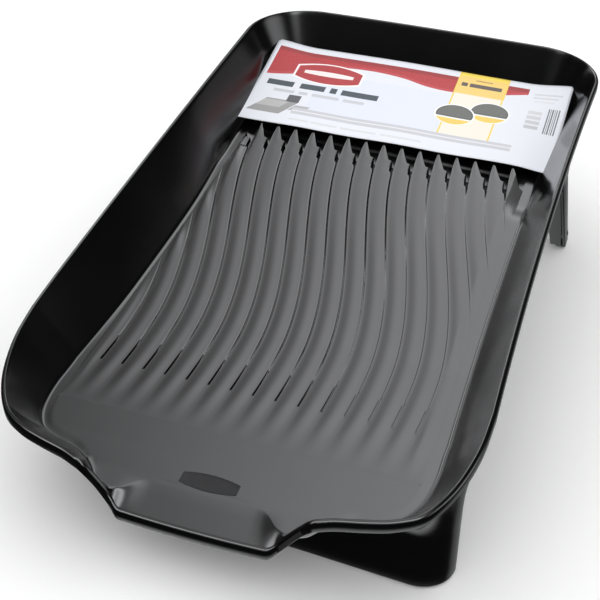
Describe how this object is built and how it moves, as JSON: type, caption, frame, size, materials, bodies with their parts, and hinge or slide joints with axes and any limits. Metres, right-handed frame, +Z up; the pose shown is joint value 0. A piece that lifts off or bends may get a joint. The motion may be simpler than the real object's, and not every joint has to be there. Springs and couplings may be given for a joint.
{
  "type": "draining board",
  "caption": "Sloped dish draining board: a glossy moulded tray with S-curved ribs and a pouring lip, raised on clip-in rear legs.",
  "frame": {"origin": "middle of the footprint, on the table the board stands on", "axes": "+Z up, +Y towards the raised back end, +X to the right seen from the pouring lip"},
  "size_m": [0.2972, 0.5394, 0.1297],
  "materials": {
    "gloss_black": "gloss",
    "foot_rubber": "matte",
    "label_card": "satin"
  },
  "bodies": {
    "tray": {"tray": "gloss_black", "front_foot_pad_right": "foot_rubber", "front_foot_pad_left": "foot_rubber"},
    "leg_right": {"rear_leg_right": "gloss_black", "rear_foot_pad_right": "foot_rubber"},
    "leg_left": {"rear_leg_left": "gloss_black", "rear_foot_pad_left": "foot_rubber"},
    "label": {"product_label": "label_card"}
  },
  "joints": [
    {"name": "label_lift", "type": "slide", "parent": "tray", "child": "label", "axis": [0, 0, 1], "range_m": [0, 0.08]},
    {"name": "leg_right_unclip", "type": "slide", "parent": "tray", "child": "leg_right", "axis": [0, 0, -1], "range_m": [0, 0.03]},
    {"name": "leg_left_unclip", "type": "slide", "parent": "tray", "child": "leg_left", "axis": [0, 0, -1], "range_m": [0, 0.03]}
  ]
}
